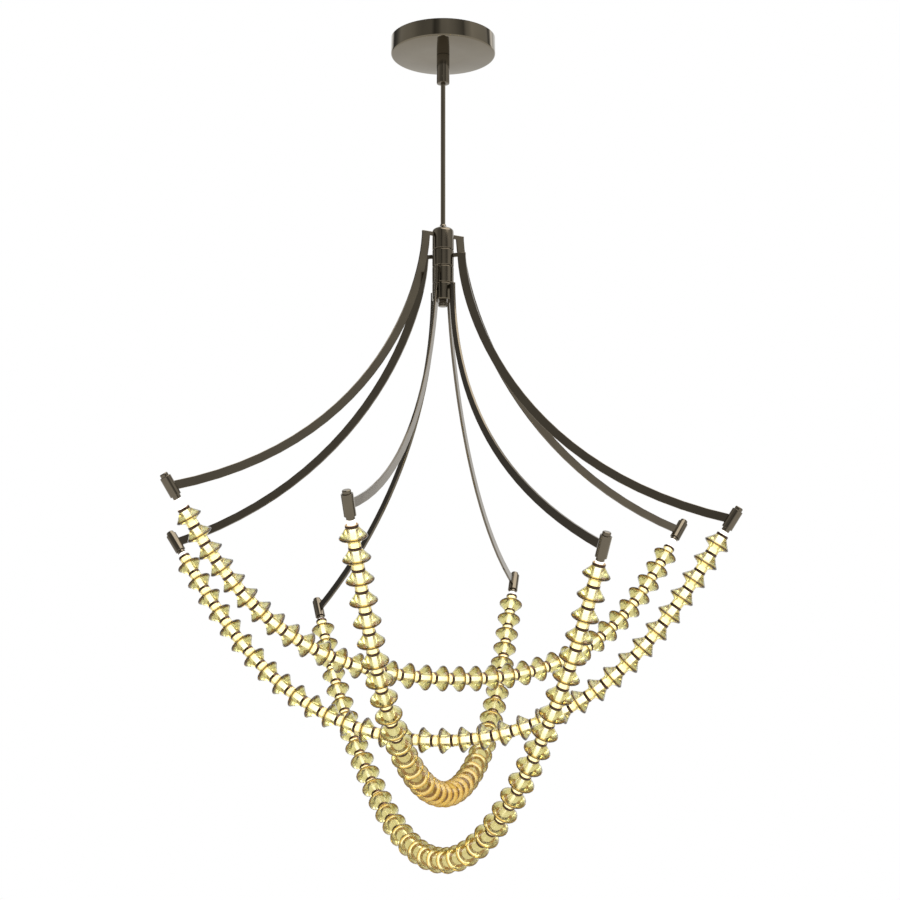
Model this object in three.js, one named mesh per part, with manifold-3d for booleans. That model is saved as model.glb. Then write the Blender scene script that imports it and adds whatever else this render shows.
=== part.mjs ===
// A beaded chandelier: a canopy and stem carry a hub of four stacked rings. Each ring holds
// two opposite flat-bar arms, and a sagging string of glass beads hangs between their tips.
// Millimetres, +Z up. The origin is on the ceiling plane, on the axis of the stem.
import * as THREE from 'three';
import { mergeVertices } from 'three/addons/utils/BufferGeometryUtils.js';
import Module from 'manifold-3d';

const wasm = await Module();
wasm.setup();

// Clearances
const seatGap = 0.3;
const turnGap = 0.4;
const cutOverrun = 1;

// Ceiling plate, with two slots for the screws of the ceiling box
const plateWidth = 62;
const plateThick = 2.5;
const plateCorner = 12;
const slotSpacing = 88.9;
const slotWidth = 5.4;
const slotLength = 14;
const plateEndMargin = 3.55;

// Nipple under the plate, its lock nut, and the coupling that takes the stem
const nippleWidth = 9.6;
const nippleLength = 12;
const nutAcrossFlats = 14;
const nutThick = 3.2;
const couplingWidth = 12.7;
const couplingLength = 26;
const couplingGrip = 4;

// Light driver and terminal block, fixed under the plate
const driverLength = 72;
const driverWidth = 18;
const driverHeight = 13;
const driverEar = 5;
const driverEarThick = 2;
const terminalLength = 32;
const terminalWidth = 15;
const terminalHeight = 10;
const terminalWays = 3;
const terminalRidge = 2;
const partsToNipple = 10;

// Canopy cover, a shallow cup open at the ceiling
const canopyWidth = 140;
const canopyDepth = 23.4;
const canopyWall = 1.2;
const canopyEdge = 2.4;

// Collar under the cover, a deep little cup with the stem through its floor
const collarWidth = 17.3;
const collarDepth = 39.8;
const collarWall = 1.4;
const collarFloor = 3;
const collarEdge = 1;
const grubWidth = 3;
const grubFromFloor = 8;

// Stem and hub
const stemWidth = 6.35;
const hubTopDepth = 260;
const domeFlare = 2.4;
const domeFlareRise = 3.2;
const domeShoulder = 3.4;
const domeShoulderDrop = 4.6;
const domeDepth = 10.4;
const topRingHeight = 35.1;
const ringPitch = 22.86;
const ringWidth = 28.5;
const ringChamfer = 0.9;
const coreWidth = 7.2;
const coreEndWidth = 6;
const coreEndLength = 3.6;
const washerWidth = 10.3;
const washerThick = 2;
const finialWidth = 12.4;
const finialHeight = 5.4;
const finialChamfer = 0.8;
const finialGroove = 0.6;

// Arms: flat bar on edge, with a tab that enters the ring
const reach = 370;
const barWidth = 11;
const barThick = 3;
const barToAxis = 25.5;
const tabHeight = 5.2;
const tabSink = 2.2;
const firstTabBelowTop = 11.8;
const tabBelowSeam = 4.9;
const armDrop = 368.6;
const armFall = 70;
const armSweep = 290;
const armTipAngle = 15.2;
const lowArmDrop = 387.3;
const lowArmFall = 111;
const lowArmSweep = 305;
const lowArmTipAngle = 23.5;

// Sleeves on the arm tips, and their plugs
const sleeveWidth = 14;
const sleeveWall = 1.6;
const sleeveLength = 26;
const plugOut = 4.4;
const plugChamfer = 0.8;

// Light tube and bead strings
const tubeWidth = 9;
const spacerWidth = 15.6;
const spacerThick = 3.4;
const beadWidth = 33;
const neckWidth = 14.6;
const beadShoulder = 4.2;

// The four tiers from the top ring down. The angle of a string's curve at a share u of its
// half length is the sum of bend[i] * sin((2i + 1) * 90 * u) degrees, and neckSide tells
// to which end the necks of the beads point.
const highArm = { drop: armDrop, fall: armFall, sweep: armSweep, tipAngle: armTipAngle };
const lowArm = { drop: lowArmDrop, fall: lowArmFall, sweep: lowArmSweep, tipAngle: lowArmTipAngle };
const tiers = [
  { azimuth: 29, beads: 35, bareTube: 12.5, bend: [50.14, -7.47, -1.1], neckSide: 1, arm: highArm },
  { azimuth: 344, beads: 35, bareTube: 4.3, bend: [56.44, -1.49, -1.13], neckSide: -1, arm: highArm },
  { azimuth: 74, beads: 38, bareTube: 5.6, bend: [62.64, -0.7, -0.87], neckSide: 1, arm: highArm },
  { azimuth: 299, beads: 40, bareTube: 2.2, bend: [65.22, 5.06, 3.32], neckSide: -1, arm: lowArm },
];

// Facets
const wideSides = 32;
const ringSides = 16;
const smallSides = 12;
const sleeveSides = 10;
const arcSteps = 2;
const beadSides = 8;
const tubeSides = 5;
const armSteps = 12;
const curveSteps = 200;

// Length and depths worked out from the sizes above
const plateLength = slotSpacing + slotLength + 2 * plateEndMargin;
const nippleTop = plateThick + seatGap;
const couplingTop = nippleTop + nippleLength - couplingGrip;
const stemTop = couplingTop + couplingLength - couplingGrip;
const collarTop = canopyDepth + seatGap;
const firstSeamDepth = hubTopDepth + topRingHeight;
const lastSeamDepth = firstSeamDepth + (tiers.length - 1) * ringPitch;
const washerTop = lastSeamDepth + seatGap;
const finialTop = washerTop + washerThick + seatGap;

// Radii of things that fit together
const stemBore = stemWidth / 2 + turnGap;
const coreBore = coreWidth / 2 + turnGap;
const plugWidth = sleeveWidth - 2 * sleeveWall - 2 * seatGap;

const bronze = { color: 0x4b463a, roughness: 0.35, metalness: 0.9 };
const darkBronze = { color: 0x3a342b, roughness: 0.4, metalness: 0.9 };
const zinc = { color: 0xb8bcc0, roughness: 0.4, metalness: 0.8 };
const glass = { color: 0xc8c37a, roughness: 0.1, metalness: 0 };
const glow = { color: 0xfffcd7, roughness: 0.5, metalness: 0 };
const driverCase = { color: 0xe4e4e0, roughness: 0.6, metalness: 0 };
const terminalCase = { color: 0xd8d4c8, roughness: 0.6, metalness: 0 };

const fixture = new THREE.Group();

function radians(degrees) {
  return THREE.MathUtils.degToRad(degrees);
}

function addPiece(parent, name, geometry, finish) {
  const piece = new THREE.Mesh(geometry, new THREE.MeshStandardMaterial(finish));
  piece.name = name;
  parent.add(piece);
  return piece;
}

// Shared corners only, so that the surface is one closed mesh without collapsed faces.
function closed(geometry) {
  const bare = geometry.clone();
  bare.deleteAttribute('normal');
  bare.deleteAttribute('uv');
  const merged = mergeVertices(bare, seatGap / 1000);
  const corners = merged.index.array;
  const kept = [];
  for (let i = 0; i < corners.length; i += 3) {
    const [a, b, c] = corners.slice(i, i + 3);
    if (a !== b && b !== c && c !== a) {
      kept.push(a, b, c);
    }
  }
  merged.setIndex(kept);
  return merged;
}

function toSolid(geometry) {
  const mesh = closed(geometry);
  return new wasm.Manifold(new wasm.Mesh({
    numProp: 3,
    vertProperties: new Float32Array(mesh.attributes.position.array),
    triVerts: new Uint32Array(mesh.index.array),
  }));
}

function fromSolid(solid) {
  const mesh = solid.getMesh();
  const geometry = new THREE.BufferGeometry();
  geometry.setAttribute('position', new THREE.BufferAttribute(mesh.vertProperties, 3));
  geometry.setIndex(new THREE.BufferAttribute(mesh.triVerts, 1));
  return geometry;
}

function cutAway(geometry, cutters) {
  let solid = toSolid(geometry);
  for (const cutter of cutters) {
    solid = solid.subtract(toSolid(cutter));
  }
  return fromSolid(solid);
}

// A turned piece: each corner is [radius, height], and the outline closes on itself. It is
// set so that the middle of a flat facet faces +X.
function turned(outline, sides) {
  const points = outline.map(([radius, height]) => new THREE.Vector2(radius, height));
  points.push(points[0].clone());
  const geometry = new THREE.LatheGeometry(points, sides, Math.PI / 2 + Math.PI / sides);
  return closed(geometry.rotateX(Math.PI / 2));
}

function tubeOutline(inner, outer, low, high) {
  return [[inner, low], [outer, low], [outer, high], [inner, high]];
}

function rod(radius, low, high, sides) {
  return new THREE.CylinderGeometry(radius, radius, high - low, sides)
    .rotateX(Math.PI / 2)
    .translate(0, 0, (low + high) / 2);
}

function box(length, width, low, high) {
  return new THREE.BoxGeometry(length, width, high - low).translate(0, 0, (low + high) / 2);
}

// A rectangle with round corners, or a slot where the corner is half the width.
function roundedOutline(path, x, y, length, width, corner) {
  const left = x - length / 2 + corner;
  const right = x + length / 2 - corner;
  const low = y - width / 2 + corner;
  const high = y + width / 2 - corner;
  path.absarc(right, high, corner, 0, Math.PI / 2, false);
  path.absarc(left, high, corner, Math.PI / 2, Math.PI, false);
  path.absarc(left, low, corner, Math.PI, 1.5 * Math.PI, false);
  path.absarc(right, low, corner, 1.5 * Math.PI, 2 * Math.PI, false);
  path.closePath();
  return path;
}

function ceilingPlate() {
  const outline = roundedOutline(new THREE.Shape(), 0, 0, plateLength, plateWidth, plateCorner);
  for (const side of [-1, 1]) {
    const slot = new THREE.Path();
    const x = side * slotSpacing / 2;
    outline.holes.push(roundedOutline(slot, x, 0, slotLength, slotWidth, slotWidth / 2));
  }
  const settings = { depth: plateThick, bevelEnabled: false, curveSegments: arcSteps };
  return new THREE.ExtrudeGeometry(outline, settings).translate(0, 0, -plateThick);
}

function lockNut() {
  const hexRadius = nutAcrossFlats / 2 / Math.cos(Math.PI / 6);
  const corners = [0, 1, 2, 3, 4, 5].map((i) => new THREE.Vector2(hexRadius, 0)
    .rotateAround(new THREE.Vector2(0, 0), i * Math.PI / 3));
  const outline = new THREE.Shape(corners);
  const bore = nippleWidth / 2 + turnGap;
  outline.holes.push(new THREE.Path().absarc(0, 0, bore, 0, 2 * Math.PI, false));
  const settings = { depth: nutThick, bevelEnabled: false, curveSegments: smallSides / 2 };
  return new THREE.ExtrudeGeometry(outline, settings)
    .translate(0, 0, -nippleTop - seatGap - nutThick);
}

// The coupling grips the nipple above and the stem below, each in its own blind bore.
function stemCoupling() {
  const top = -couplingTop;
  const foot = top - couplingLength;
  const nippleBore = nippleWidth / 2 + seatGap;
  const nippleFloor = top - couplingGrip - seatGap;
  const stemSeat = stemWidth / 2 + seatGap;
  const stemFloor = foot + couplingGrip + seatGap;
  return turned([
    [0, nippleFloor], [nippleBore, nippleFloor], [nippleBore, top], [couplingWidth / 2, top],
    [couplingWidth / 2, foot], [stemSeat, foot], [stemSeat, stemFloor], [0, stemFloor],
  ].reverse(), smallSides);
}

// A long plain case with a screw ear at each end, flat against the plate.
function lightDriver() {
  const top = -plateThick - seatGap;
  const half = driverLength / 2;
  const side = new THREE.Shape([
    new THREE.Vector2(-half - driverEar, top),
    new THREE.Vector2(-half - driverEar, top - driverEarThick),
    new THREE.Vector2(-half, top - driverEarThick),
    new THREE.Vector2(-half, top - driverHeight),
    new THREE.Vector2(half, top - driverHeight),
    new THREE.Vector2(half, top - driverEarThick),
    new THREE.Vector2(half + driverEar, top - driverEarThick),
    new THREE.Vector2(half + driverEar, top),
  ]);
  const settings = { depth: driverWidth, bevelEnabled: false };
  return new THREE.ExtrudeGeometry(side, settings)
    .rotateX(Math.PI / 2)
    .translate(0, partsToNipple + driverWidth, 0);
}

// A block with a ridge between the wire ways on its lower face.
function terminalBlock() {
  const top = -plateThick - seatGap;
  const foot = top - terminalHeight;
  const way = (terminalLength - (terminalWays + 1) * terminalRidge) / terminalWays;
  const points = [new THREE.Vector2(terminalLength / 2, top), new THREE.Vector2(-terminalLength / 2, top)];
  for (let i = 0; i <= terminalWays; i += 1) {
    const left = -terminalLength / 2 + i * (way + terminalRidge);
    const wayFloor = foot + terminalRidge;
    if (i > 0) {
      points.push(new THREE.Vector2(left, wayFloor));
    }
    points.push(new THREE.Vector2(left, foot));
    points.push(new THREE.Vector2(left + terminalRidge, foot));
    if (i < terminalWays) {
      points.push(new THREE.Vector2(left + terminalRidge, wayFloor));
    }
  }
  const settings = { depth: terminalWidth, bevelEnabled: false };
  return new THREE.ExtrudeGeometry(new THREE.Shape(points), settings)
    .rotateX(Math.PI / 2)
    .translate(0, -partsToNipple, 0);
}

// A thin shell: the outline goes down the outside, round the lower edge, in to the hole
// for the stem coupling, and back along the inside.
function canopyCover() {
  const outer = canopyWidth / 2;
  const inner = outer - canopyWall;
  const hole = collarWidth / 2 - collarWall;
  const slant = canopyEdge * (1 - Math.SQRT1_2);
  return turned([
    [inner, 0], [inner, canopyWall - canopyDepth], [hole, canopyWall - canopyDepth],
    [hole, -canopyDepth], [outer - canopyEdge, -canopyDepth],
    [outer - slant, slant - canopyDepth], [outer, canopyEdge - canopyDepth], [outer, 0],
  ], wideSides);
}

function canopyCollar() {
  const outer = collarWidth / 2;
  const inner = outer - collarWall;
  const top = -collarTop;
  const foot = top - collarDepth;
  const cup = turned([
    [inner, top], [inner, foot + collarFloor], [stemBore, foot + collarFloor], [stemBore, foot],
    [outer - collarEdge, foot], [outer, foot + collarEdge], [outer, top],
  ], ringSides);
  const grubBore = rod(grubWidth / 2 + seatGap, 0, collarWidth, smallSides)
    .rotateX(Math.PI / 2)
    .translate(0, 0, foot + grubFromFloor);
  return cutAway(cup, [grubBore]);
}

// The screw runs in from the front of the collar almost to the stem.
function grubScrew() {
  const foot = -collarTop - collarDepth;
  return rod(grubWidth / 2, stemWidth / 2 + seatGap, collarWidth / 2, smallSides)
    .rotateX(Math.PI / 2)
    .translate(0, 0, foot + grubFromFloor);
}

// The spindle: a shaft through the rings, and a thinner end for the washer and the finial.
function hubCore() {
  const top = -hubTopDepth - domeFlareRise - seatGap;
  const step = -washerTop + seatGap / 2;
  const foot = -finialTop - coreEndLength;
  return turned([
    [0, top], [0, foot], [coreEndWidth / 2, foot], [coreEndWidth / 2, step],
    [coreWidth / 2, step], [coreWidth / 2, top],
  ], smallSides);
}

function hubWasher() {
  const bore = coreEndWidth / 2 + seatGap;
  return turned(tubeOutline(bore, washerWidth / 2, -washerTop - washerThick, -washerTop), ringSides);
}

// The nut has a waist groove, and a blind bore for the end of the core.
function finialNut() {
  const top = -finialTop;
  const foot = top - finialHeight;
  const outer = finialWidth / 2;
  const bore = coreEndWidth / 2 + turnGap;
  const boreFloor = top - coreEndLength - turnGap;
  const middle = top - finialHeight / 2;
  return turned([
    [bore, top], [bore, boreFloor], [0, boreFloor], [0, foot], [outer - finialChamfer, foot],
    [outer, foot + finialChamfer], [outer, middle - finialGroove],
    [outer - finialGroove, middle], [outer, middle + finialGroove],
    [outer, top - finialChamfer], [outer - finialChamfer, top],
  ], ringSides);
}

// A plain ring has both edges chamfered. The top one has a dome with a flare at the stem.
function hubRing(tier) {
  const outer = ringWidth / 2;
  const low = -firstSeamDepth - tier * ringPitch + seatGap / 2;
  const bottom = [[coreBore, low], [outer - ringChamfer, low], [outer, low + ringChamfer]];
  if (tier > 0) {
    const high = low + ringPitch - seatGap;
    return turned([...bottom, [outer, high - ringChamfer], [outer - ringChamfer, high], [coreBore, high]],
      ringSides);
  }
  const top = -hubTopDepth;
  const roof = top - domeFlareRise;
  const shoulder = top - domeDepth;
  return turned([
    ...bottom, [outer, shoulder], [outer - domeShoulder / 3, shoulder + domeShoulderDrop / 2],
    [outer - domeShoulder, shoulder + domeShoulderDrop], [stemBore + domeFlare, roof],
    [stemBore + domeFlare / 3, top], [stemBore, top], [stemBore, roof], [coreBore, roof],
  ], ringSides);
}

function tabTop(tier) {
  if (tier === 0) {
    return -hubTopDepth - firstTabBelowTop;
  }
  return -firstSeamDepth - (tier - 1) * ringPitch - tabBelowSeam;
}

// The pockets that the two tabs of a tier sit in.
function tabPockets(tier) {
  const floor = ringWidth / 2 - tabSink - seatGap;
  const depth = ringWidth / 2 + cutOverrun - floor;
  const high = tabTop(tier) + seatGap;
  const low = tabTop(tier) - tabHeight - seatGap;
  return [-1, 1].map((side) => box(depth, barThick + 2 * seatGap, low, high)
    .translate(side * (floor + depth / 2), 0, 0));
}

// The middle line of an arm, from the hub out to the tip, in the plane of its tier.
function armLine(tier) {
  const { drop, fall, sweep, tipAngle } = tiers[tier].arm;
  const top = tabTop(tier);
  const tip = top - drop;
  const slope = radians(tipAngle);
  return new THREE.CubicBezierCurve(
    new THREE.Vector2(barToAxis, top),
    new THREE.Vector2(barToAxis, top - fall),
    new THREE.Vector2(reach - sweep * Math.cos(slope), tip + sweep * Math.sin(slope)),
    new THREE.Vector2(reach, tip),
  );
}

// Bar and tab in one outline, laid in the vertical plane and cut off at the sleeve.
function arm(tier, string) {
  const line = armLine(tier);
  const outside = [];
  const inside = [];
  for (let i = 0; i <= armSteps; i += 1) {
    const middle = line.getPointAt(i / armSteps);
    const along = line.getTangentAt(i / armSteps);
    const across = new THREE.Vector2(-along.y, along.x).multiplyScalar(barWidth / 2);
    outside.push(middle.clone().add(across));
    inside.push(middle.clone().sub(across));
  }
  const top = tabTop(tier);
  const tabEnd = ringWidth / 2 - tabSink;
  const outline = new THREE.Shape([
    ...outside.reverse(),
    new THREE.Vector2(tabEnd, top),
    new THREE.Vector2(tabEnd, top - tabHeight),
    new THREE.Vector2(barToAxis - barWidth / 2, top - tabHeight),
    ...inside.slice(1),
  ]);
  const bar = new THREE.ExtrudeGeometry(outline, { depth: barThick, bevelEnabled: false })
    .rotateX(Math.PI / 2)
    .translate(0, barThick / 2, 0);
  const room = rod(sleeveWidth / 2 + seatGap, -sleeveLength, sleeveLength, 2 * smallSides);
  return cutAway(bar, [placeAtTip(room, string)]);
}

// The line of a bead string. It starts on the axis at the lowest point, and each side
// mirrors the other.
function stringLine(tier) {
  const { bend, beads, bareTube } = tiers[tier];
  const slopeAt = (share) => radians(bend.reduce(
    (sum, part, i) => sum + part * Math.sin((2 * i + 1) * Math.PI / 2 * share), 0));
  const meanTo = (share, part) => {
    let sum = 0;
    for (let i = 0; i < curveSteps; i += 1) {
      sum += part(slopeAt(share * (i + 1 / 2) / curveSteps));
    }
    return sum / curveSteps;
  };
  const half = reach / meanTo(1, Math.cos);
  const bottom = armLine(tier).v3.y - half * meanTo(1, Math.sin);
  const plugEnd = half - sleeveLength / 2 - plugOut;
  const lastSpacer = plugEnd - bareTube - spacerThick / 2;
  const pitch = 2 * lastSpacer / beads;
  const pointAt = (along) => {
    const share = Math.abs(along) / half;
    return new THREE.Vector2(along * meanTo(share, Math.cos),
      bottom + Math.abs(along) * meanTo(share, Math.sin));
  };
  const joints = [-plugEnd];
  for (let i = 0; i <= beads; i += 1) {
    joints.push(i * pitch - lastSpacer);
  }
  joints.push(plugEnd);
  return { half, pitch, plugEnd, lastSpacer, tipSlope: slopeAt(1), joints: joints.map(
    (along) => ({ along, point: pointAt(along) })) };
}

// Puts something that stands along Z at the origin onto the right-hand tip of a string.
function placeAtTip(geometry, string) {
  const tip = string.tip;
  return geometry.clone().rotateY(Math.PI / 2 - string.tipSlope).translate(tip.x, 0, tip.y);
}

// A straight turned form along the string, bent so that each link between two joints lies
// straight. An outline corner is [radius, distance along the string].
function bentTurning(outline, sides, string) {
  const points = outline.map(([radius, along]) => new THREE.Vector2(radius, along));
  const geometry = new THREE.LatheGeometry(points, sides);
  const { joints } = string;
  const links = joints.slice(1).map((joint, i) => joint.point.clone().sub(joints[i].point).normalize());
  const place = geometry.attributes.position;
  for (let i = 0; i < place.count; i += 1) {
    const along = place.getY(i);
    const next = joints.findIndex((joint) => joint.along > along + seatGap / 1000);
    const link = next > 0 ? next - 1 : links.length - 1;
    const start = joints[link];
    const atJoint = Math.abs(start.along - along) < seatGap / 1000 && link > 0;
    const direction = atJoint ? links[link].clone().add(links[link - 1]).normalize() : links[link];
    const out = place.getX(i);
    const foot = start.point.clone().addScaledVector(links[link], along - start.along);
    place.setXYZ(i, foot.x - direction.y * out, place.getZ(i), foot.y + direction.x * out);
  }
  return closed(geometry);
}

// Glass beads and spacer rings in one body. A bead is a cone that flares from its spacer to
// the rim, then a short shoulder down to a slim neck against the next spacer.
function beadString(tier, string) {
  const { beads, neckSide } = tiers[tier];
  const { pitch, lastSpacer } = string;
  const stations = [[spacerWidth / 2, 0]];
  for (let i = 0; i < beads; i += 1) {
    const start = spacerThick / 2 + i * pitch;
    const rim = i * pitch + pitch / 2;
    stations.push([spacerWidth / 2, start]);
    stations.push([beadWidth / 2, rim]);
    stations.push([neckWidth / 2, rim + beadShoulder]);
  }
  const length = 2 * lastSpacer + spacerThick;
  stations.push([spacerWidth / 2, length - spacerThick]);
  stations.push([spacerWidth / 2, length]);
  const first = -lastSpacer - spacerThick / 2;
  const laid = stations.map(([radius, along]) => [radius, neckSide > 0 ? first + along : -first - along]);
  if (neckSide < 0) {
    laid.reverse();
  }
  const body = bentTurning([[0, first], ...laid, [0, -first]], beadSides, string);
  const bore = tubeOutlineAlong(tubeWidth / 2 + seatGap, string);
  return cutAway(body, [bentTurning(bore, tubeSides, string)]);
}

// A plain round length from plug to plug, with a ring of corners at each joint.
function tubeOutlineAlong(radius, string) {
  const { joints } = string;
  const end = joints[joints.length - 1].along - seatGap;
  const stations = joints.slice(1, -1).map((joint) => [radius, joint.along]);
  return [[0, -end], [radius, -end], ...stations, [radius, end], [0, end]];
}

function sleeve() {
  const outer = sleeveWidth / 2;
  return turned(tubeOutline(outer - sleeveWall, outer, -sleeveLength / 2, sleeveLength / 2),
    sleeveSides);
}

function plug() {
  const radius = plugWidth / 2;
  const half = sleeveLength / 2 + plugOut;
  return turned([
    [0, -half], [radius, -half], [radius, half - plugChamfer], [radius - plugChamfer, half], [0, half],
  ], sleeveSides);
}

addPiece(fixture, 'ceiling_plate', ceilingPlate(), zinc);
addPiece(fixture, 'hanging_nipple',
  rod(nippleWidth / 2, -nippleTop - nippleLength, -nippleTop, smallSides), zinc);
addPiece(fixture, 'lock_nut', lockNut(), zinc);
addPiece(fixture, 'stem_coupling', stemCoupling(), zinc);
addPiece(fixture, 'light_driver', lightDriver(), driverCase);
addPiece(fixture, 'terminal_block', terminalBlock(), terminalCase);
addPiece(fixture, 'canopy_cover', canopyCover(), bronze);
addPiece(fixture, 'canopy_collar', canopyCollar(), bronze);
addPiece(fixture, 'collar_grub_screw', grubScrew(), darkBronze);
addPiece(fixture, 'stem_rod',
  rod(stemWidth / 2, -hubTopDepth - domeFlareRise, -stemTop, smallSides), bronze);
addPiece(fixture, 'hub_core', hubCore(), zinc);
addPiece(fixture, 'hub_washer', hubWasher(), darkBronze);
addPiece(fixture, 'finial_nut', finialNut(), bronze);

for (let tier = 0; tier < tiers.length; tier += 1) {
  const string = stringLine(tier);
  string.tip = armLine(tier).v3;
  const group = new THREE.Group();
  group.rotation.z = radians(tiers[tier].azimuth);
  fixture.add(group);
  const number = tier + 1;
  addPiece(group, `hub_ring_${number}`, cutAway(hubRing(tier), tabPockets(tier)), bronze);
  addPiece(group, `bead_string_${number}`, beadString(tier, string), glass);
  addPiece(group, `light_tube_${number}`,
    bentTurning(tubeOutlineAlong(tubeWidth / 2, string), tubeSides, string), glow);
  for (const end of ['a', 'b']) {
    const side = new THREE.Group();
    side.rotation.z = end === 'a' ? 0 : Math.PI;
    group.add(side);
    addPiece(side, `arm_${number}${end}`, arm(tier, string), bronze);
    addPiece(side, `arm_sleeve_${number}${end}`, placeAtTip(sleeve(), string), bronze);
    addPiece(side, `sleeve_plug_${number}${end}`, placeAtTip(plug(), string), darkBronze);
  }
}

export default fixture;
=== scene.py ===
# %% [markdown]
# # A beaded chandelier, dressed for the camera
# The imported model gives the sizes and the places. Everything here is laid over it: round
# metal, real glass beads and a glowing tube. Lengths are written in millimetres, as on a
# maker's drawing, and turned to metres where an operator needs them.

from math import atan2, cos, degrees, pi, radians, sin

import bpy
from mathutils import Matrix, Vector


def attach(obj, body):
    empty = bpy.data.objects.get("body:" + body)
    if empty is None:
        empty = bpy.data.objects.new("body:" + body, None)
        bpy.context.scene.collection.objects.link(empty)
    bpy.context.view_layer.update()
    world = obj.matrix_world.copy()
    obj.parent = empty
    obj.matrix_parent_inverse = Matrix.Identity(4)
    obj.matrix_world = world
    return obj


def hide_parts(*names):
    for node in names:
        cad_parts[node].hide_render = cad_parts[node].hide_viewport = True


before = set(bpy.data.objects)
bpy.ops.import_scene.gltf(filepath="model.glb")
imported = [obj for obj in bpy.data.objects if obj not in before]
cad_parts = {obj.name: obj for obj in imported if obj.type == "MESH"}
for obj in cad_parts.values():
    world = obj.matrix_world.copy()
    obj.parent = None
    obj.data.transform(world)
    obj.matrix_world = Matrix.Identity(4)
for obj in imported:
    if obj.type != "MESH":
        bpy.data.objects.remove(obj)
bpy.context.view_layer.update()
MM = 0.001


# %% [markdown]
# ## Colours and nodes
# Colours are written as the eye reads them on a screen, and one function turns them to the
# linear values that the renderer works in. A material is a tree of nodes. It could be put
# together by hand in the node editor, but in code it can be read and repeated, so one
# function adds a node with its settings, its links and a colour ramp's stops.


# %% Colour and node helpers
def linear(code):
    """A screen colour, such as #FFFFFF, as linear red, green and blue, with full alpha."""
    parts = [int(code[i:i + 2], 16) / 255 for i in (1, 3, 5)]
    return tuple(p / 12.92 if p <= 0.04045 else ((p + 0.055) / 1.055) ** 2.4
                 for p in parts) + (1.0,)


def node(tree, kind, inputs=None, stops=(), **settings):
    """Adds a node. An input is a value, or a socket of another node to link from.

    Stops are a colour ramp's pairs of place and linear colour, in order of place.
    """
    made = tree.nodes.new(kind)
    for name, value in settings.items():
        setattr(made, name, value)
    for name, value in (inputs or {}).items():
        socket = made.inputs[name]
        if isinstance(value, bpy.types.NodeSocket):
            tree.links.new(value, socket)
        else:
            socket.default_value = value
    if stops:
        elements = made.color_ramp.elements
        elements[0].position, elements[0].color = stops[0]
        elements[1].position, elements[1].color = stops[-1]
        for place, colour in stops[1:-1]:
            elements.new(place).color = colour
    return made


def blank_material(name):
    material = bpy.data.materials.new(name)
    material.use_nodes = True
    material.node_tree.nodes.clear()
    return material, material.node_tree


print("middle grey in linear values:", round(linear("#808080")[0], 3))

# %% [markdown]
# ## Plated metal
# The arms, the hub and the canopy are steel with a dark bronze plating under clear lacquer:
# smooth and glossy, and darker in some places than in others. One even colour would look
# like paint, so a noise pattern varies the tone and the roughness a little. Polishing marks
# are hundredths of a millimetre wide and wouldn't show, so the pattern is drawn coarser, as
# soft clouds of 4 to 40 mm. The hidden fittings are zinc plated, which is paler and duller.
# A noise pattern has most of its values between the low and the high stop.

# %% The plated metals
NOISE_LOW, NOISE_HIGH = 0.3, 0.7
ROUGHNESS_PLAY, GRAIN_DEPTH = 0.03, 0.05


def plated(name, dark, light, roughness, cloud_mm, relief_share=0.02, lit_sides=0.0):
    """Lit sides is the strength of a painted glow: faces shine with their tint attribute, as where
    a ring lies against lit glass.
    """
    material, tree = blank_material(name)
    sides = node(tree, "ShaderNodeAttribute", attribute_name="tint_and_painted_light")
    place = node(tree, "ShaderNodeTexCoord")
    cloud = node(tree, "ShaderNodeTexNoise",
                 {"Vector": place.outputs["Object"], "Scale": 1 / (cloud_mm * MM), "Detail": 3.0})
    tone = node(tree, "ShaderNodeValToRGB", {"Fac": cloud.outputs["Fac"]},
                stops=[(NOISE_LOW, linear(dark)), (NOISE_HIGH, linear(light))])
    sheen = node(tree, "ShaderNodeMapRange",
                 {"Value": cloud.outputs["Fac"], "To Min": roughness - ROUGHNESS_PLAY,
                  "To Max": roughness + ROUGHNESS_PLAY})
    relief = node(tree, "ShaderNodeBump",
                  {"Height": cloud.outputs["Fac"], "Strength": relief_share,
                   "Distance": GRAIN_DEPTH * MM})
    metal = node(tree, "ShaderNodeBsdfPrincipled",
                 {"Base Color": tone.outputs["Color"], "Metallic": 1.0,
                  "Roughness": sheen.outputs["Result"], "Normal": relief.outputs["Normal"],
                  "Emission Color": sides.outputs["Color"], "Emission Strength": lit_sides})
    node(tree, "ShaderNodeOutputMaterial", {"Surface": metal.outputs["BSDF"]})
    return material


bronze = plated("dark_bronze_plate", "#696154", "#706859", 0.13, 25.0)
# The canopy and the stem take a copy of the same plating that is painted a shade lighter: painted
# light, for the brighter reflections they show. It is also smoother.
lighter_painted_bronze = plated("dark_bronze_painted_lighter", "#71695A", "#776F5F", 0.06, 40.0)
ring_bronze = plated("brown_bronze_spacer", "#4A3A30", "#5C483A", 0.24, 4.0, lit_sides=1.0)
zinc = plated("zinc_plated_steel", "#A9ADB0", "#C4C7C9", 0.35, 8.0, relief_share=0.1)
print("metals:", ", ".join(made.name for made in (bronze, lighter_painted_bronze, ring_bronze, zinc)))

# %% [markdown]
# ## Pressed glass
# The beads are pressed soda-lime glass with a little iron in it, which gives the olive tint.
# Soda-lime glass bends light with an index of 1.52. The tint could be a surface colour alone, but
# it mostly sits in the volume, so thick places are deeper in colour than thin ones. The surface
# adds the slow swirls of the melt, about 9 mm wide, and a painted dark line where the eye grazes
# it: painted shade for the dark edge that thick glass shows. The mix node's sockets have names for
# their numbers.

# %% The bead glass
FACTOR, COLOUR_A, COLOUR_B, COLOUR_OUT = 0, 6, 7, 2
MIXED = {"data_type": "RGBA"}
MULTIPLIED = {"data_type": "RGBA", "blend_type": "MULTIPLY"}
GLASS_INDEX, GLASS_ROUGHNESS = 1.52, 0.18
SWIRL_WIDTH, SWIRL_DEPTH = 9.0, 0.5


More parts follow.
